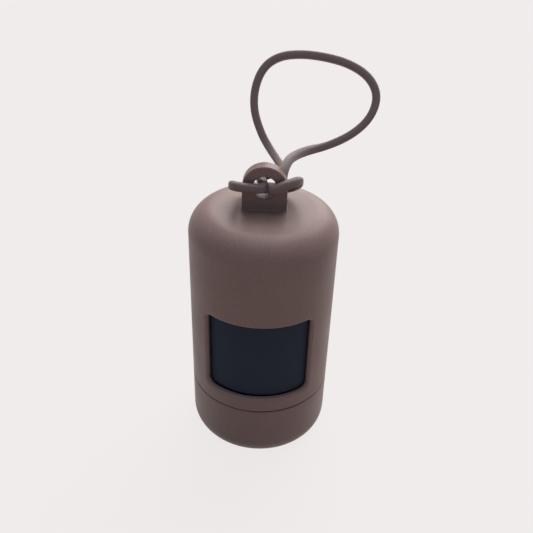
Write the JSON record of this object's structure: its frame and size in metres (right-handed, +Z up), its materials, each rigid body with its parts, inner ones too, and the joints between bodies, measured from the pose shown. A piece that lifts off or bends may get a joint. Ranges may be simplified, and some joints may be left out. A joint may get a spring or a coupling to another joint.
{
  "type": "waste bag dispenser",
  "caption": "Round-shouldered upright holder for a roll of waste bags, with a front dispensing window, a twist-off base cap and a strap hitched through a lug on its crown.",
  "frame": {"origin": "centre of the flat foot of the base cap, where the dispenser stands", "axes": "+Z up along the body's axis, -Y out of the dispensing window, +X to the right of a viewer who faces the window"},
  "size_m": [0.0483, 0.0409, 0.1079],
  "materials": {
    "body_plastic": "moulded ABS with a fine matte, soft-touch surface, mocha brown",
    "core_card": "plain grey-brown wound cardboard",
    "bag_film": "thin blue-black polyethylene film with a dull sheen",
    "strap_elastomer": "matte moulded elastomer in the body's brown"
  },
  "bodies": {
    "shell": {"shell": "body_plastic", "strap_hitch": "strap_elastomer"},
    "core": {"roll_core": "core_card"},
    "cap": {"base_cap": "body_plastic"},
    "bags": {"bag_roll": "bag_film"},
    "loop": {"strap_loop": "strap_elastomer"}
  },
  "joints": [
    {"name": "cap_drop", "type": "slide", "parent": "shell", "child": "core", "axis": [0, 0, -1], "range_m": [0, 0.0015]},
    {"name": "cap_twist", "type": "hinge", "parent": "core", "child": "cap", "pos_m": [0, 0, 0.0206], "axis": [0, 0, -1], "range_deg": [0, 45]},
    {"name": "roll_spin", "type": "hinge", "parent": "core", "child": "bags", "pos_m": [0, 0, 0.032], "axis": [0, 0, 1], "continuous": true},
    {"name": "strap_swing", "type": "hinge", "parent": "shell", "child": "loop", "pos_m": [0.0047, 0.0042, 0.081], "axis": [1, 0, 0], "range_deg": [-34, 34], "stiffness_Nm_per_rad": 0.003}
  ],
  "couplings": [
    {"joint": "cap_twist", "follows": "cap_drop", "rad_per_m": 523.6}
  ]
}
